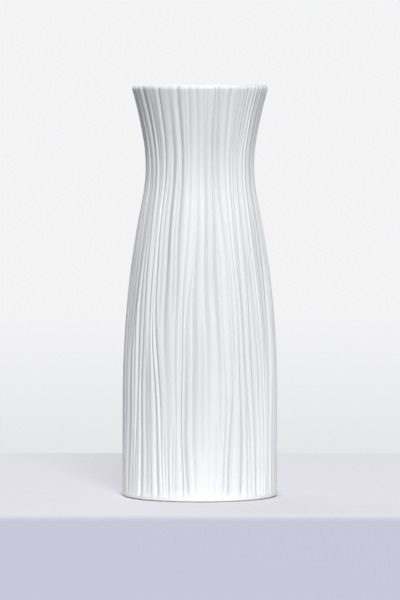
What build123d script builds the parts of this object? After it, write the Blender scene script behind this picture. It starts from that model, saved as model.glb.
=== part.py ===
from build123d import *
import os
from math import asin, cos, pi, radians, sin, sqrt

# A tall porcelain vase with a straight body, a long shoulder, a drawn-in neck and a flared mouth.
# Wavy upright ribs cover the outside. The wall and the floor rest on a plain foot ring.
# Millimetres. The origin is the centre of the standing face, with +Z up.

# Lengths along the axis
STRAIGHT_LENGTH = 65.0  # standing face to the end of the straight body
SHOULDER_LENGTH = 151.5  # end of the straight body to the narrowest point of the neck
MOUTH_LENGTH = 53.5  # narrowest point of the neck to the top of the lip

# Outer profile, measured over the rib crests
BODY_RADIUS = 51.1
THROAT_INSET = 15.25  # how far the neck draws in from the body
NECK_ARC_RADIUS = 106.0
FLARE_ARC_RADIUS = 325.0
FLARE_START_ANGLE = 9.9  # lean of the neck where the wider arc of the mouth takes over

# Wall and lip
WALL = 5.0
LIP_ROUND = 2.6  # outer edge
LIP_BEVEL = 1.2  # inner edge

# Foot ring and floor
FOOT_HEIGHT = 2.5
FOOT_GAP = 0.9  # how high the ring's outer edge stays above the table
FOOT_SETBACK = 2.0  # how far the standing face lies inside that edge
FOOT_LEDGE = 4.0  # how far the ring reaches in under the floor
FOOT_OUTER_BEVEL = 0.7
FOOT_INNER_BEVEL = 0.8
FLOOR_THICKNESS = 5.0
CORNER_BEVEL = 3.5  # sloped corner between the floor and the wall
CORNER_LAND = 0.5  # flat edge that keeps the top of the slope from running out to nothing

# Ribs: folds with a groove between each two, drifting sideways like the grain of wood
RIB_COUNT = 60
RIB_DEPTH = 2.0  # where a groove is deepest
RIB_LEAST_DEPTH = 0.35  # share of it where a groove is shallowest
RIB_LEAST_WIDTH = 0.6  # narrowest rib at the foot, where an even one is 1
RIB_WIDTH_SPREAD = 0.95  # how much wider the broadest rib is
RIB_LEAN = 0.2  # how far a crest lies off the middle of its rib at most, as a share of the width
RIB_SWAY = 2.1  # sideways drift of the main wave, at the body
SWAY_PITCH = 420.0  # height in which the main wave comes round again
MOUTH_LOSS = 0.3  # share of the grooves' depth that they lose over the flare, up to the lip

# Short ribs, which taper out on the way up where the grooves beside them run together
SHORT_SHARE = 0.26  # of all the ribs
TAPER_LOW = 50.0  # where the first taper starts
TAPER_HIGH = 150.0  # where the last one starts
TAPER_LENGTH = 80.0
TAPER_LOSS = 0.85  # share of a short rib's width that goes to the ribs beside it

# Rows of faces up the ribbed side and over the lip's round
BODY_ROWS = 2
SHOULDER_ROWS = 5
NECK_ROWS = 3
FLARE_ROWS = 2
LIP_ROWS = 2
INSIDE_ROWS = 3  # on the shoulder and on the neck

HEIGHT = STRAIGHT_LENGTH + SHOULDER_LENGTH + MOUTH_LENGTH
THROAT_HEIGHT = STRAIGHT_LENGTH + SHOULDER_LENGTH
THROAT_RADIUS = BODY_RADIUS - THROAT_INSET
INSIDE_RADIUS = BODY_RADIUS - WALL
FLOOR_TOP = FOOT_HEIGHT + FLOOR_THICKNESS
LIP_BOTTOM = HEIGHT - LIP_ROUND
GOLDEN_SHARE = (sqrt(5.0) - 1.0) / 2.0

# The shoulder is one arc, tangent to the straight body below and to the neck arc above.
SHOULDER_ARC_RADIUS = (SHOULDER_LENGTH**2 + THROAT_INSET**2) / (2.0 * THROAT_INSET) - NECK_ARC_RADIUS
SHOULDER_ANGLE = asin(SHOULDER_LENGTH / (SHOULDER_ARC_RADIUS + NECK_ARC_RADIUS))
SHOULDER_TOP = STRAIGHT_LENGTH + SHOULDER_ARC_RADIUS * sin(SHOULDER_ANGLE)

# The mouth's flare arc is tangent to the neck arc where the neck leans out by the start angle.
FLARE_BOTTOM = THROAT_HEIGHT + NECK_ARC_RADIUS * sin(radians(FLARE_START_ANGLE))
FLARE_EXTRA = FLARE_ARC_RADIUS - NECK_ARC_RADIUS
FLARE_CENTRE_RADIUS = THROAT_RADIUS + NECK_ARC_RADIUS + FLARE_EXTRA * cos(radians(FLARE_START_ANGLE))
FLARE_CENTRE_HEIGHT = THROAT_HEIGHT - FLARE_EXTRA * sin(radians(FLARE_START_ANGLE))


def crest(z):
    """Radius over the rib crests at height z, and the radius gained there per unit of height."""
    if z <= STRAIGHT_LENGTH:
        return BODY_RADIUS, 0.0
    if z <= SHOULDER_TOP:
        rise = z - STRAIGHT_LENGTH
        reach = sqrt(SHOULDER_ARC_RADIUS**2 - rise**2)
        return BODY_RADIUS - SHOULDER_ARC_RADIUS + reach, -rise / reach
    if z <= FLARE_BOTTOM:
        rise = z - THROAT_HEIGHT
        reach = sqrt(NECK_ARC_RADIUS**2 - rise**2)
        return THROAT_RADIUS + NECK_ARC_RADIUS - reach, rise / reach
    rise = z - FLARE_CENTRE_HEIGHT
    reach = sqrt(FLARE_ARC_RADIUS**2 - rise**2)
    return FLARE_CENTRE_RADIUS - reach, rise / reach


def inset(z, depth):
    """Radius and height of the point that lies depth inside the crests, square to the surface at z."""
    radius, lean = crest(z)
    step = depth / sqrt(1.0 + lean**2)
    return radius - step, z + step * lean


def turned(points):
    """Solid turned about the axis from a closed outline of points in radius and height."""
    return Solid.revolve(Plane.XZ * Face(Wire.make_polygon(points)), 360.0, Axis.Z)


def scatter(index, kind):
    """Share from 0 to 1 for a rib, as if drawn by lot, with another draw for each kind of use."""
    return (43758.5453 * sin(12.9898 * (index % RIB_COUNT) + 78.233 * kind)) % 1.0


def smooth(share):
    """Soft step from 0 to 1."""
    share = min(1.0, max(0.0, share))
    return share * share * (3.0 - 2.0 * share)


def taper(index, z):
    """How far a rib has tapered out at height z. Only short ribs do, and no two side by side are short."""
    if (index % RIB_COUNT * GOLDEN_SHARE) % 1.0 >= SHORT_SHARE:
        return 0.0
    start = TAPER_LOW + (TAPER_HIGH - TAPER_LOW) * scatter(index, 2)
    return smooth((z - start) / TAPER_LENGTH)


def full_width(index):
    """Width of a rib at the foot, where an even one is 1."""
    return RIB_LEAST_WIDTH + RIB_WIDTH_SPREAD * scatter(index, 1) ** 1.5


def lost_width(index, z):
    """Width that a short rib has lost at height z to the two beside it."""
    return TAPER_LOSS * taper(index, z) * full_width(index)


def sway(angle, z):
    """Sideways drift of the grain at this angle and height: a main wave and two finer ones."""
    climb = 2.0 * pi * z / SWAY_PITCH
    main = sin(5.0 * angle + climb)
    middle = sin(9.0 * angle - 1.3 * climb + 2.1)
    fine = sin(16.0 * angle + 1.6 * climb + 4.4)
    return RIB_SWAY * (main + 0.6 * middle + 0.28 * fine)


def groove_angles(z):
    """Angles about the axis of all the grooves at height z, and of the first one again."""
    widths = []
    for index in range(RIB_COUNT):
        gained = (lost_width(index - 1, z) + lost_width(index + 1, z)) / 2.0
        widths.append(full_width(index) - lost_width(index, z) + gained)
    even = [2.0 * pi * sum(widths[:index]) / sum(widths) for index in range(RIB_COUNT + 1)]
    return [angle + sway(angle, z) / BODY_RADIUS for angle in even]


def groove_depth(index, z):
    """Depth of a groove at height z: each one swells and fades in its own rhythm up the wall."""
    rhythm = 1.0 + 1.4 * scatter(index, 3)
    swell = 0.5 + 0.5 * sin(2.0 * pi * (scatter(index, 4) + rhythm * z / SWAY_PITCH))
    return RIB_DEPTH * (RIB_LEAST_DEPTH + (1.0 - RIB_LEAST_DEPTH) * swell)


def rib_section(z, radius, relief):
    """Outline of the ribbed wall at height z, with a groove and a crest for each rib."""
    angles = groove_angles(z)
    points = []
    for index in range(RIB_COUNT):
        start, end = angles[index], angles[index + 1]
        before, after = groove_depth(index, z), groove_depth(index + 1, z)
        place = 0.5 + RIB_LEAN * (2.0 * scatter(index, 9) - 1.0)
        crest_angle = start + place * (end - start)
        sunk = (before + place * (after - before)) * taper(index, z) ** 2
        bottom = radius - relief * before
        top = radius - relief * sunk
        points.append((bottom * cos(start), bottom * sin(start), z))
        points.append((top * cos(crest_angle), top * sin(crest_angle), z))
    return Wire.make_polygon(points)


def rows(bottom, top, count):
    """Heights of so many even rows above the bottom, up to the top."""
    return [bottom + (top - bottom) * (row + 1) / count for row in range(count)]


def rib_relief(z):
    """Share of the full relief at height z, up to the lip's round."""
    return 1.0 - MOUTH_LOSS * max(0.0, z - FLARE_BOTTOM) / (LIP_BOTTOM - FLARE_BOTTOM)


def ribbed_side():
    """Blank of the ribbed outside, from the foot ring up over the lip's round, where the grooves run out."""
    heights = [FOOT_HEIGHT]
    heights += rows(FOOT_HEIGHT, STRAIGHT_LENGTH, BODY_ROWS)
    heights += rows(STRAIGHT_LENGTH, SHOULDER_TOP, SHOULDER_ROWS)
    heights += rows(SHOULDER_TOP, FLARE_BOTTOM, NECK_ROWS)
    heights += rows(FLARE_BOTTOM, LIP_BOTTOM, FLARE_ROWS)
    sections = [rib_section(z, crest(z)[0], rib_relief(z)) for z in heights]
    edge = crest(LIP_BOTTOM)[0]
    for angle in rows(0.0, pi / 2.0, LIP_ROWS):
        height = LIP_BOTTOM + LIP_ROUND * sin(angle)
        radius = edge - LIP_ROUND * (1.0 - cos(angle))
        sections.append(rib_section(height, radius, (1.0 - MOUTH_LOSS) * cos(angle)))
    return Solid.make_loft(sections, ruled=True)


def inside():
    """Space within the wall, in straight stretches between the main heights of the profile."""
    stations = [STRAIGHT_LENGTH]
    stations += rows(STRAIGHT_LENGTH, SHOULDER_TOP, INSIDE_ROWS)
    stations += rows(SHOULDER_TOP, FLARE_BOTTOM, INSIDE_ROWS)
    bevel_bottom = HEIGHT - LIP_BEVEL
    mouth_radius = crest(bevel_bottom)[0] - WALL
    outline = [(0.0, FOOT_HEIGHT), (INSIDE_RADIUS, FOOT_HEIGHT)]
    outline += [inset(z, WALL) for z in stations]
    outline += [(mouth_radius, bevel_bottom), (mouth_radius + LIP_BEVEL, HEIGHT), (0.0, HEIGHT)]
    return turned(outline)


def ribbed_wall():
    """Porcelain wall, open at both ends: ribbed side with its lip, inner side and a flat ring at each end."""
    ribs, space = ribbed_side(), inside()
    sides = [face for solid in (ribs, space) for face in solid.faces().filter_by(Axis.Z, reverse=True)]
    ends = ribs.faces().filter_by(Axis.Z).sort_by(Axis.Z)
    holes = space.faces().filter_by(Axis.Z).sort_by(Axis.Z)
    seat = ends[0].make_holes([holes[0].outer_wire()])
    rim = ends[-1].make_holes([holes[-1].outer_wire()])
    return Solid(Shell([*sides, seat, rim]))


def foot_ring():
    """Plain ring under the wall and the floor. It stands on a lower face, set back from its outer edge."""
    inner_radius = INSIDE_RADIUS - FOOT_LEDGE
    return turned(
        [
            (inner_radius + FOOT_INNER_BEVEL, 0.0),
            (BODY_RADIUS - FOOT_SETBACK, 0.0),
            (BODY_RADIUS - FOOT_SETBACK, FOOT_GAP),
            (BODY_RADIUS - FOOT_OUTER_BEVEL, FOOT_GAP),
            (BODY_RADIUS, FOOT_GAP + FOOT_OUTER_BEVEL),
            (BODY_RADIUS, FOOT_HEIGHT),
            (inner_radius, FOOT_HEIGHT),
            (inner_radius, FOOT_INNER_BEVEL),
        ]
    )


def floor_disc():
    """Floor on the foot ring's ledge, sloping up where it meets the wall."""
    return turned(
        [
            (0.0, FOOT_HEIGHT),
            (INSIDE_RADIUS, FOOT_HEIGHT),
            (INSIDE_RADIUS, FLOOR_TOP + CORNER_BEVEL - CORNER_LAND),
            (INSIDE_RADIUS - CORNER_LAND, FLOOR_TOP + CORNER_BEVEL - CORNER_LAND),
            (INSIDE_RADIUS - CORNER_BEVEL, FLOOR_TOP),
            (0.0, FLOOR_TOP),
        ]
    )


PIECES = {
    "ribbed_wall": ribbed_wall,
    "foot_ring": foot_ring,
    "floor_disc": floor_disc,
}

os.makedirs("parts", exist_ok=True)
for name, make_piece in PIECES.items():
    export_step(make_piece(), f"parts/{name}.step")
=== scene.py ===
from functools import lru_cache
from math import asin, atan2, cos, hypot, pi, radians, sin, sqrt

import bmesh
import bpy
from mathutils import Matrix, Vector


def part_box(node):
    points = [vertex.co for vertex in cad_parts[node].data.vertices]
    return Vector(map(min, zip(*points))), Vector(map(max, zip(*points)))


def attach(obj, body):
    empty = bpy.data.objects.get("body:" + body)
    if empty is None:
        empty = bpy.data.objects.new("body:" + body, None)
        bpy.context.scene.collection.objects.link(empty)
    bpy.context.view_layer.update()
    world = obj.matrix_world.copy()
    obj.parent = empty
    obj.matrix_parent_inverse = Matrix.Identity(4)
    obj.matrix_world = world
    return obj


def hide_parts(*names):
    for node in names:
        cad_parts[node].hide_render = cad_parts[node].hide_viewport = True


# A tall porcelain vase with a straight body, a long shoulder, a drawn-in neck and a flared mouth.
# Outside it is satin and covered with wavy upright ribs, inside it is glazed, and its foot is ground bare.
# Metres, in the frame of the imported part: +Z up, and the photographed side faces -Y.

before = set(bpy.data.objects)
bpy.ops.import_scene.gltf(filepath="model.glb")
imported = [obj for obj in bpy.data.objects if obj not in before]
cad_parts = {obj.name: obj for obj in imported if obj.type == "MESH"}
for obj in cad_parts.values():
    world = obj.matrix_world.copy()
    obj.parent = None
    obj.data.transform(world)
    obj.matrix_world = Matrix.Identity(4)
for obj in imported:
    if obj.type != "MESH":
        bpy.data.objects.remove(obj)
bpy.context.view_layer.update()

MM = 0.001

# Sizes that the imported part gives
FOOT_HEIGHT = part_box("foot_ring")[1].z
BODY_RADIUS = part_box("foot_ring")[1].x
INSIDE_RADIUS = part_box("floor_disc")[1].x
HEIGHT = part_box("ribbed_wall")[1].z
WALL = BODY_RADIUS - INSIDE_RADIUS

# Outer profile over the rib crests
STRAIGHT_TOP = 65.0 * MM
THROAT_HEIGHT = 216.5 * MM
THROAT_INSET = 15.25 * MM  # how far the neck draws in from the body
NECK_ARC_RADIUS = 106.0 * MM
FLARE_ARC_RADIUS = 325.0 * MM
FLARE_START_ANGLE = radians(9.9)  # lean of the neck where the wider arc of the mouth takes over

# Lip
LIP_ROUND = 2.6 * MM  # outer edge
LIP_INNER_ROUND = 1.2 * MM

# Foot ring and floor
FOOT_GAP = 0.75 * MM  # how high the ring's outer edge stays above the table
FOOT_SETBACK = 1.0 * MM  # how far the standing face lies inside that edge
FOOT_LEDGE = 4.0 * MM  # how far the ring reaches in under the floor
FOOT_OUTER_ROUND = 0.5 * MM
FOOT_INNER_ROUND = 0.8 * MM
FLOOR_THICKNESS = 5.0 * MM
FLOOR_CORNER_ROUND = 9.0 * MM
FLOOR_DOME = 0.6 * MM  # how far the underside rises towards its middle
GLAZE = 0.4 * MM
GLAZE_STOP = 3.0 * MM  # how far under the lip the glaze ends

# Ribs: folds with a groove between each two, drifting sideways like the grain of wood
RIB_COUNT = 60
RIB_DEPTH = 2.0 * MM  # where a groove is deepest
RIB_LEAST_DEPTH = 0.35  # share of it where a groove is shallowest
RIB_LEAST_WIDTH = 0.6  # narrowest rib at the foot, where an even one is 1
RIB_WIDTH_SPREAD = 0.95  # how much wider the broadest rib is
RIB_WIDTH_SKEW = 1.5  # above 1, so that narrow ribs outnumber broad ones
RIB_LEAN = 0.2  # how far a crest lies off the middle of its rib at most, as a share of the width
CROWN_LEAST = 1.35  # power of the slope from crest to groove on the sharpest rib
CROWN_SPREAD = 0.8  # how much higher that power is on the roundest one
RIB_SWAY = 2.1 * MM  # sideways drift of the main wave, at the body
SWAY_PITCH = 420.0 * MM  # height in which the main wave comes round again
SWAY_WAVES = (  # waves round the vase, steepness, start and strength of the main wave and two finer ones
    (5.0, 1.0, 0.0, 1.0),
    (9.0, -1.3, 2.1, 0.6),
    (16.0, 1.6, 4.4, 0.28),
)
SWELL_SPREAD = 1.4  # how much quicker than the slowest groove the quickest one swells and fades
MOUTH_LOSS = 0.3  # share of the grooves' depth that they lose over the flare, up to the lip
RIB_FADE = 3.5 * MM  # height over which the grooves run out above the foot ring
RIPPLE = 0.4 * MM  # small waver of each groove
RIPPLE_PITCH = 85.0 * MM
CREST_UNEVENNESS = 0.3 * MM  # how far the back of a rib sinks here and there
SPLIT_DEPTH = 1.0 * MM  # fine groove along the back of a broad rib
SPLIT_WIDTH = 0.3  # from its middle to its edge, as a share of its rib
SPLIT_PITCH = 170.0 * MM  # height in which it comes and goes
SPLIT_MEAN = 0.6  # share of its depth about which it comes and goes
SPLIT_SWING = 0.9  # how far it goes either way, held between none and all
SPLIT_FROM = 0.85  # width of a rib from which it shows, where an even rib is 1
SPLIT_EASE = 0.35  # further width over which it comes to its full depth
SPLIT_NEAREST = 0.35  # share of the way over its rib where it lies at least
SPLIT_STRAY = 0.3  # how much further over it lies at most

# Short ribs, which taper out on the way up where the grooves beside them run together
SHORT_SHARE = 0.26  # of all the ribs
TAPER_LOW = 50.0 * MM  # where the first taper starts
TAPER_HIGH = 150.0 * MM  # where the last one starts
TAPER_LENGTH = 80.0 * MM
TAPER_LOSS = 0.85  # share of a short rib's width that goes to the ribs beside it
GOLDEN_SHARE = (sqrt(5.0) - 1.0) / 2.0  # step that spreads the short ribs round the vase

# Kinds of scattered share, one for each use
WIDTH_DRAW = 1
TAPER_DRAW = 2
SWELL_PITCH_DRAW = 3
SWELL_DRAW = 4
CREST_DRAW = 5
SPLIT_DRAW = 6
RIPPLE_DRAW = 7
LEAN_DRAW = 9
CROWN_DRAW = 10
SPLIT_PLACE_DRAW = 11

# Mesh
RIB_COLUMNS = 13  # on each rib
FOOT_COLUMNS = 4  # under each rib
FLOOR_COLUMNS = 128
LINING_COLUMNS = 160
ROW_HEIGHT = 2.8 * MM  # on the ribbed side
INNER_ROW_HEIGHT = 40.0 * MM  # behind the lining
LINING_ROW_HEIGHT = 5.0 * MM
SAME_PLACE = 0.001 * MM  # points closer than this are one
SHARP_CORNER = radians(75.0)  # corners from this angle on stay sharp

# Camera, from the photograph: a long lens level with the lip, looking slightly down
SENSOR_MM = 36.0
CAMERA_DISTANCE = 2.7
CAMERA_HEIGHT = 0.270
AIM_HEIGHT = 0.1287
LENS_MM = 246.8

# Table under the vase
TABLE_FRONT = 0.121
TABLE_BACK = 0.313
TABLE_HALF_WIDTH = 0.9
TABLE_THICKNESS = 0.09
TABLE_EDGE_ROUND = 4.0 * MM

# Colours and finishes
SATIN_WHITE = (0.885, 0.888, 0.888)
SATIN_CLOUD = (0.862, 0.868, 0.872)
SATIN_SHEEN = 0.25  # the fine tooth of the surface scatters most of its shine
# grey of the painted shade in the grooves, and of the pinholes in the glaze
PAINTED_SHADE_AND_PINHOLE_GREY = (0.60, 0.615, 0.635)
GROOVE_SHADE = 0.66  # how far the deepest grooves go towards that grey, as painted shade
GROOVE_FROM = 0.48  # root of the depth, as a share of the deepest, from which a groove is shaded
GROOVE_FULL = 0.97  # and at which it is shaded in full
GROOVE_ROUGHNESS = 0.7
# bare ground clay, painted darker still as shade where it shows in the gap under the foot ring
BARE_CLAY_AND_PAINTED_GAP_SHADE = (0.62, 0.605, 0.57)
BARE_CLOUD_AND_PAINTED_GAP_SHADE = (0.55, 0.53, 0.49)
CLAY_EDGE = 0.15 * MM  # half the height over which the bare clay gives way to the satin side
GLAZED_WHITE = (0.90, 0.90, 0.895)
GLAZED_CLOUD = (0.87, 0.88, 0.88)
POOLED_GLAZE = (0.78, 0.815, 0.815)
POOL_SHARE = 0.6  # how far the glaze by the floor goes towards that colour
PINHOLE_CORE = 0.05  # how far a pinhole is at its deepest, as a share of its cell
PINHOLE_EDGE = 0.09  # and where it ends
PINHOLE_ROUGHNESS = 0.4
TABLE_TOP_CLOTH = (0.765, 0.765, 0.81)
# the front, painted darker and cooler than the top as shade
TABLE_FRONT_CLOTH_IN_PAINTED_SHADE = (0.60, 0.61, 0.735)
TABLE_PLAIN_SHARE = 0.7  # share of the plain colour, which no light changes, in what the camera sees
TABLE_CONTACT = 6.0 * MM  # how far out from the foot the plain colour comes in

# Wall behind the table, and light of the room
WALL_TONE = (0.90, 0.90, 0.91)
# wall just above the table, painted greyer as shade
WALL_LOW_PAINTED_SHADE = (0.78, 0.79, 0.81)
WALL_LOW_SLOPE = -0.09  # slope of the line of sight that meets the wall just above the table
WALL_HIGH_SLOPE = -0.055  # slope above which the wall is even
ROOM_LIGHT = (0.125, 0.127, 0.132)

# Worked out from these
THROAT_RADIUS = BODY_RADIUS - THROAT_INSET
SHOULDER_LENGTH = THROAT_HEIGHT - STRAIGHT_TOP
SHOULDER_ARC_RADIUS = (SHOULDER_LENGTH**2 + THROAT_INSET**2) / (2.0 * THROAT_INSET) - NECK_ARC_RADIUS
SHOULDER_ANGLE = asin(SHOULDER_LENGTH / (SHOULDER_ARC_RADIUS + NECK_ARC_RADIUS))
SHOULDER_CENTRE = (BODY_RADIUS - SHOULDER_ARC_RADIUS, STRAIGHT_TOP)
NECK_CENTRE = (THROAT_RADIUS + NECK_ARC_RADIUS, THROAT_HEIGHT)
FLARE_EXTRA = FLARE_ARC_RADIUS - NECK_ARC_RADIUS
FLARE_CENTRE = (
    NECK_CENTRE[0] + FLARE_EXTRA * cos(FLARE_START_ANGLE),
    THROAT_HEIGHT - FLARE_EXTRA * sin(FLARE_START_ANGLE),
)
FLARE_BOTTOM = THROAT_HEIGHT + NECK_ARC_RADIUS * sin(FLARE_START_ANGLE)


# Outlines, drawn in the XZ plane and turned about the axis


def add_point(bm, tip, radius, height, rows=1):
    """Straight run of an outline from its tip to a new point, in so many rows."""
    start = tip.co.copy()
    end = Vector((radius, 0.0, height))
    for row in range(rows):
        tip = bmesh.ops.extrude_vert_indiv(bm, verts=[tip])["verts"][0]
        tip.co = start.lerp(end, (row + 1) / rows)
    return tip


def add_arc(bm, tip, centre, angle, rows):
    """Round run of an outline from its tip about a centre, positive from outwards to upwards."""
    turned = bmesh.ops.spin(
        bm, geom=[tip], cent=(centre[0], 0.0, centre[1]), axis=(0.0, -1.0, 0.0), angle=angle, steps=rows
    )
    return next(item for item in turned["geom_last"] if isinstance(item, bmesh.types.BMVert))


def add_wall(bm, tip, depth, top_lean, row_height):
    """Outline of the wall, depth inside the rib crests, from the tip up to where the mouth has this lean."""
    def rows(length):
        return max(1, round(length / row_height))

    tip = add_point(bm, tip, BODY_RADIUS - depth, STRAIGHT_TOP, rows(STRAIGHT_TOP - tip.co.z))
    tip = add_arc(bm, tip, SHOULDER_CENTRE, SHOULDER_ANGLE, rows(SHOULDER_ARC_RADIUS * SHOULDER_ANGLE))
    neck_angle = SHOULDER_ANGLE + FLARE_START_ANGLE
    tip = add_arc(bm, tip, NECK_CENTRE, -neck_angle, rows(NECK_ARC_RADIUS * neck_angle))
    flare_angle = top_lean - FLARE_START_ANGLE
    return add_arc(bm, tip, FLARE_CENTRE, -flare_angle, rows(FLARE_ARC_RADIUS * flare_angle))


def lip_lean(size, depth):
    """Lean of the mouth where a rounded edge of this size takes over, with its centre so deep in the wall."""
    return asin((HEIGHT - size - FLARE_CENTRE[1]) / (FLARE_ARC_RADIUS + depth))


def add_outer_lip(bm, tip, lean):
    """Outer edge of the lip, from the wall to the flat top."""
    centre = (tip.co.x - LIP_ROUND * cos(lean), tip.co.z + LIP_ROUND * sin(lean))
    return add_arc(bm, tip, centre, pi / 2.0 + lean, rows=10)


def add_inner_lip(bm, tip, lean):
    """Inner edge of the lip, from the wall to the flat top."""
    centre = (tip.co.x + LIP_INNER_ROUND * cos(lean), tip.co.z - LIP_INNER_ROUND * sin(lean))
    return add_arc(bm, tip, centre, lean - pi / 2.0, rows=3)


def turn(bm, columns, cuts=0):
    """Turn the outline once round the axis, close its poles and point its faces outwards.
    Cuts divide each column again, which is quicker than a turn in that many columns."""
    bmesh.ops.spin(
        bm, geom=bm.verts[:] + bm.edges[:], cent=(0.0, 0.0, 0.0), axis=(0.0, 0.0, 1.0),
        angle=2.0 * pi, steps=columns, use_merge=True,
    )
    bmesh.ops.remove_doubles(bm, verts=bm.verts[:], dist=SAME_PLACE)
    if cuts:
        rings = [edge for edge in bm.edges if is_ring(edge)]
        bmesh.ops.subdivide_edges(bm, edges=rings, cuts=cuts, use_grid_fill=True)
    bmesh.ops.recalc_face_normals(bm, faces=bm.faces[:])


def is_ring(edge):
    """Whether an edge of a turned shape runs round the axis."""
    first, last = (vert.co for vert in edge.verts)
    return abs(first.z - last.z) < SAME_PLACE and abs(first.xy.length - last.xy.length) < SAME_PLACE


def shade_smooth(bm):
    """Shade the faces smooth and keep the corners sharp."""
    for face in bm.faces:
        face.smooth = True
    for edge in bm.edges:
        edge.smooth = edge.calc_face_angle(0.0) < SHARP_CORNER


def add_object(bm, name, material):
    """Object of a modelled shape, in the scene."""
    mesh = bpy.data.meshes.new(name)
    bm.to_mesh(mesh)
    bm.free()
    mesh.materials.append(material)
    added = bpy.data.objects.new(name, mesh)
    bpy.context.scene.collection.objects.link(added)
    return added


def add_piece(bm, name, material, slot, *nodes):
    """Add a modelled piece that rides on the vase, in place of the named nodes."""
    piece = add_object(bm, name, material)
    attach(piece, "root")
    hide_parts(*nodes)


# Ribs


def scatter(index, kind):
    """Scattered share from 0 to 1 for a rib, another one for each kind: the last digits of a large sine."""
    return (43758.5453 * sin(12.9898 * (index % RIB_COUNT) + 78.233 * kind)) % 1.0


def held(share):
    """Share held between 0 and 1."""
    return min(1.0, max(0.0, share))


def smooth(share):
    """Soft step from 0 to 1."""
    share = held(share)
    return share * share * (3.0 - 2.0 * share)


def wave(index, kind, pitch, z):
    """Wave up the wall from -1 to 1, which starts at another place on each rib."""
    return sin(2.0 * pi * (scatter(index, kind) + z / pitch))


def is_short(index):
    """Whether a rib tapers out before the lip. No two side by side do."""
    return ((index % RIB_COUNT) * GOLDEN_SHARE) % 1.0 < SHORT_SHARE


def taper(index, z):
    """How far a short rib has tapered out at height z."""
    if not is_short(index):
        return 0.0
    start = TAPER_LOW + (TAPER_HIGH - TAPER_LOW) * scatter(index, TAPER_DRAW)
    return smooth((z - start) / TAPER_LENGTH)


def full_width(index):
    """Width of a rib at the foot, where an even rib is 1."""
    return RIB_LEAST_WIDTH + RIB_WIDTH_SPREAD * scatter(index, WIDTH_DRAW) ** RIB_WIDTH_SKEW


def lost_width(index, z):
    """Width that a short rib has lost at height z to the two beside it."""
    return TAPER_LOSS * taper(index, z) * full_width(index)


def rib_width(index, z):
    """Width of a rib at height z."""
    gained = (lost_width(index - 1, z) + lost_width(index + 1, z)) / 2.0
    return full_width(index) - lost_width(index, z) + gained


def sway(angle, z):
    """Sideways drift of the grain at this angle and height: a main wave and two finer ones."""
    climb = 2.0 * pi * z / SWAY_PITCH
    drift = 0.0
    for waves, steepness, start, strength in SWAY_WAVES:
        drift += strength * sin(waves * angle + steepness * climb + start)
    return RIB_SWAY * drift


def ripple(index, z):
    """Small waver of a groove, shared by two grooves that have run together."""
    own = wave(index, RIPPLE_DRAW, RIPPLE_PITCH, z)
    before = wave(index - 1, RIPPLE_DRAW, RIPPLE_PITCH, z)
    return RIPPLE * (own + (before - own) * taper(index - 1, z))


@lru_cache(maxsize=None)
def groove_angles(z):
    """Angles about the axis of all the grooves at height z, and of the first one again."""
    widths = [rib_width(index, z) for index in range(RIB_COUNT)]
    total = sum(widths)
    angles = []
    passed = 0.0
    for index in range(RIB_COUNT + 1):
        angle = 2.0 * pi * passed / total
        angles.append(angle + (sway(angle, z) + ripple(index, z)) / BODY_RADIUS)
        passed += widths[index % RIB_COUNT]
    return angles


@lru_cache(maxsize=None)
def groove_depth(index, z):
    """Depth of a groove at height z: each one swells and fades in its own rhythm up the wall."""
    pitch = SWAY_PITCH / (1.0 + SWELL_SPREAD * scatter(index, SWELL_PITCH_DRAW))
    swell = 0.5 + 0.5 * wave(index, SWELL_DRAW, pitch, z)
    return RIB_DEPTH * (RIB_LEAST_DEPTH + (1.0 - RIB_LEAST_DEPTH) * swell)


@lru_cache(maxsize=None)
def crest_sink(index, z):
    """How far the crest of a rib lies under the highest crests at height z."""
    return CREST_UNEVENNESS * (0.5 + 0.5 * wave(index, CREST_DRAW, SWAY_PITCH / 2.0, z))


@lru_cache(maxsize=None)
def split_depth(index, z):
    """Depth of the fine groove along the back of a broad rib at height z."""
    breadth = smooth((rib_width(index, z) - SPLIT_FROM) / SPLIT_EASE)
    return SPLIT_DEPTH * breadth * smooth(SPLIT_MEAN + SPLIT_SWING * wave(index, SPLIT_DRAW, SPLIT_PITCH, z))


def rib_drop(index, share, z):
    """How far the surface lies under the highest crests, at a share of the way over a rib."""
    crest = 0.5 + RIB_LEAN * (2.0 * scatter(index, LEAN_DRAW) - 1.0)
    before = groove_depth(index % RIB_COUNT, z)
    after = groove_depth((index + 1) % RIB_COUNT, z)
    if share < crest:
        depth = before
        away = 1.0 - share / crest
    else:
        depth = after
        away = (share - crest) / (1.0 - crest)
    crown = CROWN_LEAST + CROWN_SPREAD * scatter(index, CROWN_DRAW)
    sink = crest_sink(index, z)
    drop = sink + (depth - sink) * away**crown
    split_place = SPLIT_NEAREST + SPLIT_STRAY * scatter(index, SPLIT_PLACE_DRAW)
    split = abs(share - split_place) / SPLIT_WIDTH
    if split < 1.0:
        drop += split_depth(index, z) * (1.0 - split) ** 2
    sunk = before + (after - before) * share
    return drop + (sunk - drop) * taper(index, z) ** 2


def rib_relief(z):
    """Share of the full relief at height z, which runs out at the foot and over the lip."""
    lip_bottom = FLARE_CENTRE[1] + FLARE_ARC_RADIUS * sin(lip_lean(LIP_ROUND, LIP_ROUND))
    up_the_flare = held((z - FLARE_BOTTOM) / (lip_bottom - FLARE_BOTTOM))
    up_the_lip = held((z - lip_bottom) / (HEIGHT - lip_bottom))
    thinned = 1.0 - MOUTH_LOSS * up_the_flare
    return smooth((z - FOOT_HEIGHT) / RIB_FADE) * thinned * sqrt(1.0 - up_the_lip**2)


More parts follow.
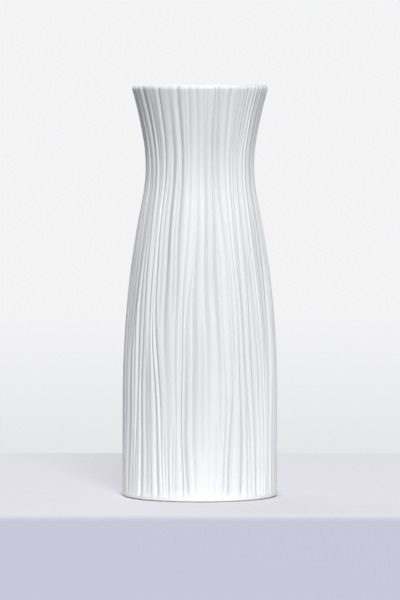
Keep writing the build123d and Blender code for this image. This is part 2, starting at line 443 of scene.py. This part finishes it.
def raise_ribs(bm, relief, groove):
    """Move the turned columns onto the ribs, closer together by the grooves, and press the grooves in
    as far as each row's relief says."""
    columns = RIB_COUNT * RIB_COLUMNS
    for vert in bm.verts:
        radius = hypot(vert.co.x, vert.co.y)
        height = round(vert.co.z, 6)
        column = round(atan2(vert.co.y, vert.co.x) / (2.0 * pi) * columns) % columns
        index, place = divmod(column, RIB_COLUMNS)
        share = (1.0 - cos(pi * place / RIB_COLUMNS)) / 4.0 + 0.5 * place / RIB_COLUMNS
        angles = groove_angles(height)
        angle = angles[index] + share * (angles[index + 1] - angles[index])
        drop = vert[relief] * rib_drop(index, share, height)
        # share of the groove's depth, as a root, which sets the painted shade in the grooves
        vert[groove] = sqrt(drop / RIB_DEPTH)
        vert.co.x = (radius - drop) * cos(angle)
        vert.co.y = (radius - drop) * sin(angle)


# Pieces of the vase


def make_ribbed_body(material):
    """Porcelain wall with its ribs and its rounded lip, closed below where it sits on the foot."""
    bm = bmesh.new()
    relief = bm.verts.layers.float.new("relief")
    groove = bm.verts.layers.float.new("groove")
    foot = bm.verts.new((BODY_RADIUS, 0.0, FOOT_HEIGHT))
    lean = lip_lean(LIP_ROUND, LIP_ROUND)
    tip = add_wall(bm, foot, 0.0, lean, ROW_HEIGHT)
    lip_outside = add_outer_lip(bm, tip, lean)
    for vert in bm.verts:
        vert[relief] = rib_relief(vert.co.z)
    seat = bm.verts.new((INSIDE_RADIUS, 0.0, FOOT_HEIGHT))
    lean = lip_lean(LIP_INNER_ROUND, WALL - LIP_INNER_ROUND)
    tip = add_wall(bm, seat, WALL, lean, INNER_ROW_HEIGHT)
    lip_inside = add_inner_lip(bm, tip, lean)
    bm.edges.new((lip_outside, lip_inside))
    bm.edges.new((foot, seat))
    turn(bm, RIB_COUNT, RIB_COLUMNS - 1)
    raise_ribs(bm, relief, groove)
    shade_smooth(bm)
    add_piece(bm, "ribbed_body", material, "porcelain", "ribbed_wall")


def make_foot_band(material):
    """Plain ring under the wall with rounded edges. It stands on a lower face that is set back."""
    bm = bmesh.new()
    hole = INSIDE_RADIUS - FOOT_LEDGE
    start = bm.verts.new((hole, 0.0, FOOT_HEIGHT))
    tip = add_point(bm, start, hole, FOOT_INNER_ROUND)
    tip = add_arc(bm, tip, (hole + FOOT_INNER_ROUND, FOOT_INNER_ROUND), pi / 2.0, rows=4)
    tip = add_point(bm, tip, BODY_RADIUS - FOOT_SETBACK, 0.0, rows=3)
    tip = add_point(bm, tip, BODY_RADIUS - FOOT_SETBACK, FOOT_GAP)
    tip = add_point(bm, tip, BODY_RADIUS - FOOT_OUTER_ROUND, FOOT_GAP)
    centre = (BODY_RADIUS - FOOT_OUTER_ROUND, FOOT_GAP + FOOT_OUTER_ROUND)
    tip = add_arc(bm, tip, centre, pi / 2.0, rows=5)
    tip = add_point(bm, tip, BODY_RADIUS, FOOT_HEIGHT)
    bm.edges.new((tip, start))
    turn(bm, RIB_COUNT, FOOT_COLUMNS - 1)
    shade_smooth(bm)
    add_piece(bm, "foot_band", material, "bare_foot", "foot_ring")


def make_floor(material):
    """Floor on the ledge of the foot ring, slightly domed underneath."""
    bm = bmesh.new()
    top = bm.verts.new((0.0, 0.0, FOOT_HEIGHT + FLOOR_THICKNESS))
    tip = add_point(bm, top, INSIDE_RADIUS, FOOT_HEIGHT + FLOOR_THICKNESS, rows=4)
    tip = add_point(bm, tip, INSIDE_RADIUS, FOOT_HEIGHT)
    ledge = INSIDE_RADIUS - FOOT_LEDGE
    tip = add_point(bm, tip, ledge, FOOT_HEIGHT)
    under = len(bm.verts)
    add_point(bm, tip, 0.0, FOOT_HEIGHT, rows=12)
    bm.verts.ensure_lookup_table()
    for vert in bm.verts[under:]:
        vert.co.z += FLOOR_DOME * (1.0 - (vert.co.x / ledge) ** 2)
    turn(bm, FLOOR_COLUMNS)
    shade_smooth(bm)
    add_piece(bm, "vase_floor", material, "glaze", "floor_disc")


def make_glaze_lining(material):
    """Thin glaze over the floor and up the inside of the wall, ending in a thin edge under the lip."""
    bm = bmesh.new()
    floor_top = FOOT_HEIGHT + FLOOR_THICKNESS
    edge = LIP_INNER_ROUND + GLAZE_STOP
    lean = lip_lean(edge, WALL - edge)
    sides = []
    for depth in (WALL, WALL + GLAZE):
        middle = bm.verts.new((0.0, 0.0, floor_top + depth - WALL))
        radius = BODY_RADIUS - depth - FLOOR_CORNER_ROUND
        tip = add_point(bm, middle, radius, middle.co.z, rows=8)
        tip = add_arc(bm, tip, (radius, middle.co.z + FLOOR_CORNER_ROUND), pi / 2.0, rows=8)
        sides.append(add_wall(bm, tip, depth, lean, LINING_ROW_HEIGHT))
    bm.edges.new(sides)
    turn(bm, LINING_COLUMNS)
    shade_smooth(bm)
    add_piece(bm, "glaze_lining", material, "glaze", "floor_disc")


# Finishes


def add_node(tree, kind, inputs=None, **settings):
    """Node of a kind with its settings. Its inputs are values, or sockets to link from."""
    node = tree.nodes.new(kind)
    for name, value in settings.items():
        setattr(node, name, value)
    for name, value in (inputs or {}).items():
        if isinstance(value, bpy.types.NodeSocket):
            tree.links.new(value, node.inputs[name])
        else:
            node.inputs[name].default_value = value
    return node


def remap(tree, value, low, high, to_low=0.0, to_high=1.0):
    """Value carried from one range to another, held at both ends."""
    inputs = {"Value": value, "From Min": low, "From Max": high, "To Min": to_low, "To Max": to_high}
    return add_node(tree, "ShaderNodeMapRange", inputs, clamp=True).outputs["Result"]


def mixed(tree, kind, share, first, second):
    """First and second, which are colours (RGBA) or values (FLOAT), mixed by a share."""
    first_input, second_input, output = {"FLOAT": (2, 3, 0), "RGBA": (6, 7, 2)}[kind]
    inputs = {0: share, first_input: first, second_input: second}
    return add_node(tree, "ShaderNodeMix", inputs, data_type=kind).outputs[output]


def calculated(tree, operation, *values):
    """Result of an operation on values or sockets."""
    return add_node(tree, "ShaderNodeMath", dict(enumerate(values)), operation=operation).outputs[0]


def own_place(tree):
    """Place of the surface in the frame of the part."""
    return add_node(tree, "ShaderNodeTexCoord").outputs["Object"]


def upward_part(tree, vector):
    """Upward part of a vector."""
    return add_node(tree, "ShaderNodeSeparateXYZ", {"Vector": vector}).outputs["Z"]


def noise(tree, place, pitch, detail):
    """Soft noise with spots about one pitch apart."""
    scale = calculated(tree, "DIVIDE", 1.0, pitch)
    inputs = {"Vector": place, "Scale": scale, "Detail": detail, "Roughness": 0.55}
    return add_node(tree, "ShaderNodeTexNoise", inputs).outputs["Fac"]


def make_fired_clay():
    """Fired clay: a cloudy tone, an uneven sheen and a fine grain."""
    group = bpy.data.node_groups.new("fired_clay", "ShaderNodeTree")
    sockets = {
        "Color": "NodeSocketColor",
        "Cloud Color": "NodeSocketColor",
        "Cloud Pitch": "NodeSocketFloat",
        "Grain Pitch": "NodeSocketFloat",
        "Roughness": "NodeSocketFloat",
        "Roughness Spread": "NodeSocketFloat",
    }
    for name, kind in sockets.items():
        group.interface.new_socket(name, in_out="INPUT", socket_type=kind)
    for name in ("Color", "Roughness", "Height"):
        kind = "NodeSocketColor" if name == "Color" else "NodeSocketFloat"
        group.interface.new_socket(name, in_out="OUTPUT", socket_type=kind)
    given = group.nodes.new("NodeGroupInput").outputs
    place = own_place(group)
    cloud = remap(group, noise(group, place, given["Cloud Pitch"], detail=3.0), low=0.35, high=0.65)
    grain = noise(group, place, given["Grain Pitch"], detail=2.0)
    spread = calculated(group, "SUBTRACT", cloud, 0.5)
    results = {
        "Color": mixed(group, "RGBA", cloud, given["Color"], given["Cloud Color"]),
        "Roughness": calculated(group, "MULTIPLY_ADD", spread, given["Roughness Spread"], given["Roughness"]),
        "Height": grain,
    }
    add_node(group, "NodeGroupOutput", results)
    return group


def fired_clay(tree, color, cloud_color, cloud_pitch, grain_pitch, roughness, spread):
    """Outputs of the fired clay with these values."""
    inputs = {
        "Color": (*color, 1.0),
        "Cloud Color": (*cloud_color, 1.0),
        "Cloud Pitch": cloud_pitch,
        "Grain Pitch": grain_pitch,
        "Roughness": roughness,
        "Roughness Spread": spread,
    }
    return add_node(tree, "ShaderNodeGroup", inputs, node_tree=FIRED_CLAY).outputs


def satin_clay(tree):
    """Fired clay of the satin outside."""
    return fired_clay(
        tree, SATIN_WHITE, SATIN_CLOUD,
        cloud_pitch=45.0 * MM, grain_pitch=0.9 * MM, roughness=0.6, spread=0.08,
    )


def new_material(name):
    """Empty material, with its tree and its shader."""
    material = bpy.data.materials.new(name)
    material.use_nodes = True
    return material, material.node_tree, material.node_tree.nodes["Principled BSDF"]


def connect(tree, shader, color, roughness, height, distance, strength):
    """Lead a finish into its shader, with the height as bump of so many metres."""
    bump = add_node(tree, "ShaderNodeBump", {"Height": height, "Distance": distance, "Strength": strength})
    tree.links.new(color, shader.inputs["Base Color"])
    tree.links.new(roughness, shader.inputs["Roughness"])
    tree.links.new(bump.outputs["Normal"], shader.inputs["Normal"])


def height_above_table(tree):
    """Height of the surface above the standing face."""
    return upward_part(tree, own_place(tree))


def make_satin_porcelain():
    """Satin white porcelain, with shade painted greyer down in the grooves."""
    material, tree, shader = new_material("satin_porcelain")
    clay = satin_clay(tree)
    groove = add_node(tree, "ShaderNodeAttribute", attribute_name="groove").outputs["Fac"]
    # painted shade, strongest down in the deepest grooves
    depth = remap(tree, groove, GROOVE_FROM, GROOVE_FULL, to_high=GROOVE_SHADE)
    color = mixed(tree, "RGBA", depth, clay["Color"], (*PAINTED_SHADE_AND_PINHOLE_GREY, 1.0))
    roughness = mixed(tree, "FLOAT", depth, clay["Roughness"], GROOVE_ROUGHNESS)
    connect(tree, shader, color, roughness, clay["Height"], distance=0.02 * MM, strength=0.4)
    shader.inputs["Specular IOR Level"].default_value = SATIN_SHEEN
    return material


def make_bare_foot():
    """Satin side of the foot, and its standing face ground bare in fine rings. The bare clay is painted
    darker as shade in the gap under the ring.
    """
    material, tree, shader = new_material("bare_foot")
    satin = satin_clay(tree)
    ground = fired_clay(
        tree, BARE_CLAY_AND_PAINTED_GAP_SHADE, BARE_CLOUD_AND_PAINTED_GAP_SHADE,
        cloud_pitch=12.0 * MM, grain_pitch=0.4 * MM, roughness=0.72, spread=0.15,
    )
    grinding = {"Vector": own_place(tree), "Scale": 520.0, "Distortion": 3.0, "Detail Scale": 0.4}
    rings = add_node(tree, "ShaderNodeTexWave", grinding, wave_type="RINGS", rings_direction="Z")
    scored = mixed(tree, "FLOAT", 0.5, ground["Height"], rings.outputs["Fac"])
    # below the top of the gap the bare clay, painted darker as shade, takes over from the satin
    side = remap(tree, height_above_table(tree), FOOT_GAP - CLAY_EDGE, FOOT_GAP + CLAY_EDGE)
    color = mixed(tree, "RGBA", side, ground["Color"], satin["Color"])
    roughness = mixed(tree, "FLOAT", side, ground["Roughness"], satin["Roughness"])
    height = mixed(tree, "FLOAT", side, scored, satin["Height"])
    connect(tree, shader, color, roughness, height, distance=0.03 * MM, strength=0.5)
    shader.inputs["Specular IOR Level"].default_value = SATIN_SHEEN
    return material


def make_clear_glaze():
    """Glossy clear glaze over white porcelain, a little thicker and cooler where it pooled by the floor."""
    material, tree, shader = new_material("clear_glaze")
    clay = fired_clay(
        tree, GLAZED_WHITE, GLAZED_CLOUD,
        cloud_pitch=60.0 * MM, grain_pitch=5.0 * MM, roughness=0.1, spread=0.05,
    )
    cells = {"Vector": own_place(tree), "Scale": 160.0}
    from_middle = add_node(tree, "ShaderNodeTexVoronoi", cells).outputs["Distance"]
    pinhole = remap(tree, from_middle, PINHOLE_CORE, PINHOLE_EDGE, 1.0, 0.0)
    floor_top = FOOT_HEIGHT + FLOOR_THICKNESS
    pool_top = floor_top + 2.0 * FLOOR_CORNER_ROUND
    pool = remap(tree, height_above_table(tree), floor_top, pool_top, POOL_SHARE, 0.0)
    pooled = mixed(tree, "RGBA", pool, clay["Color"], (*POOLED_GLAZE, 1.0))
    color = mixed(tree, "RGBA", pinhole, pooled, (*PAINTED_SHADE_AND_PINHOLE_GREY, 1.0))
    roughness = mixed(tree, "FLOAT", pinhole, clay["Roughness"], PINHOLE_ROUGHNESS)
    pitted = calculated(tree, "SUBTRACT", clay["Height"], pinhole)
    connect(tree, shader, color, roughness, pitted, distance=0.06 * MM, strength=0.4)
    return material


def make_table_cloth():
    """Pale table top with a front painted darker and cooler as shade. The camera sees it mostly in plain
    colour, under a soft shadow.
    """
    material, tree, shader = new_material("table_cloth")
    facing = add_node(tree, "ShaderNodeNewGeometry").outputs["Normal"]
    # sideways faces take the painted shade of the front, the top takes the plain cloth
    top = remap(tree, upward_part(tree, facing), low=0.1, high=0.9)
    cloth = mixed(tree, "RGBA", top, (*TABLE_FRONT_CLOTH_IN_PAINTED_SHADE, 1.0), (*TABLE_TOP_CLOTH, 1.0))
    tree.links.new(cloth, shader.inputs["Base Color"])
    shader.inputs["Roughness"].default_value = 0.9
    shader.inputs["Specular IOR Level"].default_value = 0.1
    plain = add_node(tree, "ShaderNodeEmission", {"Color": cloth})
    seen = add_node(tree, "ShaderNodeLightPath").outputs["Is Camera Ray"]
    place = own_place(tree)
    from_axis = add_node(tree, "ShaderNodeVectorMath", {0: place}, operation="LENGTH").outputs["Value"]
    clear = remap(tree, from_axis, BODY_RADIUS, BODY_RADIUS + TABLE_CONTACT, to_high=TABLE_PLAIN_SHARE)
    share = calculated(tree, "MULTIPLY", seen, clear)
    mix = add_node(tree, "ShaderNodeMixShader", {0: share, 1: shader.outputs[0], 2: plain.outputs[0]})
    tree.links.new(mix.outputs[0], tree.nodes["Material Output"].inputs["Surface"])
    return material


# Table, light and camera


def make_table():
    """Pale table top under the vase."""
    bm = bmesh.new()
    bmesh.ops.create_cube(bm, size=1.0)
    depth = TABLE_FRONT + TABLE_BACK
    bmesh.ops.scale(bm, vec=(2.0 * TABLE_HALF_WIDTH, depth, TABLE_THICKNESS), verts=bm.verts[:])
    centre = (0.0, (TABLE_BACK - TABLE_FRONT) / 2.0, -TABLE_THICKNESS / 2.0)
    bmesh.ops.translate(bm, vec=centre, verts=bm.verts[:])
    bmesh.ops.bevel(
        bm, geom=bm.edges[:], offset=TABLE_EDGE_ROUND, offset_type="OFFSET", affect="EDGES",
        segments=4, profile=0.5, material=-1,
    )
    table = add_object(bm, "table", make_table_cloth())


def add_softbox(name, azimuth, elevation, distance, size, power):
    """Square soft light that faces the vase, at degrees to the right of its front and above it."""
    light = bpy.data.lights.new(name, "AREA")
    light.shape = "SQUARE"
    light.size = size
    light.energy = power
    lamp = bpy.data.objects.new(name, light)
    middle = Vector((0.0, 0.0, HEIGHT / 2.0))
    across = distance * cos(radians(elevation))
    turned = radians(azimuth)
    away = Vector((across * sin(turned), -across * cos(turned), distance * sin(radians(elevation))))
    lamp.location = middle + away
    lamp.rotation_euler = (-away).to_track_quat("-Z", "Y").to_euler()
    bpy.context.scene.collection.objects.link(lamp)


def set_world():
    """Even light from all round, and for the camera and reflections a pale wall, painted greyer further down
    as shade.
    """
    world = bpy.data.worlds.new("studio")
    world.use_nodes = True
    tree = world.node_tree
    tree.nodes.clear()
    rays = add_node(tree, "ShaderNodeLightPath").outputs
    seen = calculated(tree, "MAXIMUM", rays["Is Camera Ray"], rays["Is Glossy Ray"])
    direction = add_node(tree, "ShaderNodeTexCoord").outputs["Generated"]
    # painted shade on the wall, greyer where the line of sight runs further down
    height = remap(tree, upward_part(tree, direction), WALL_LOW_SLOPE, WALL_HIGH_SLOPE)
    tone = mixed(tree, "RGBA", height, (*WALL_LOW_PAINTED_SHADE, 1.0), (*WALL_TONE, 1.0))
    light = add_node(tree, "ShaderNodeBackground", {"Color": (*ROOM_LIGHT, 1.0)})
    wall = add_node(tree, "ShaderNodeBackground", {"Color": tone})
    mix = add_node(tree, "ShaderNodeMixShader", {0: seen, 1: light.outputs[0], 2: wall.outputs[0]})
    add_node(tree, "ShaderNodeOutputWorld", {"Surface": mix.outputs[0]})
    bpy.context.scene.world = world


def set_camera():
    """Camera of the photograph."""
    data = bpy.data.cameras.new("camera")
    data.sensor_width = SENSOR_MM
    data.lens = LENS_MM
    data.clip_end = 20.0
    camera = bpy.data.objects.new("camera", data)
    camera.location = (0.0, -CAMERA_DISTANCE, CAMERA_HEIGHT)
    aim = Vector((0.0, 0.0, AIM_HEIGHT)) - camera.location
    camera.rotation_euler = aim.to_track_quat("-Z", "Y").to_euler()
    bpy.context.scene.collection.objects.link(camera)
    bpy.context.scene.camera = camera


FIRED_CLAY = make_fired_clay()
glaze = make_clear_glaze()

make_ribbed_body(make_satin_porcelain())
make_foot_band(make_bare_foot())
make_floor(glaze)
make_glaze_lining(glaze)

make_table()
add_softbox("key_light", azimuth=8.5, elevation=37.0, distance=4.5, size=1.1, power=195.0)
add_softbox("wall_light", azimuth=208.0, elevation=35.0, distance=3.5, size=2.5, power=52.0)
set_world()
set_camera()

bpy.context.scene.view_settings.view_transform = "Standard"
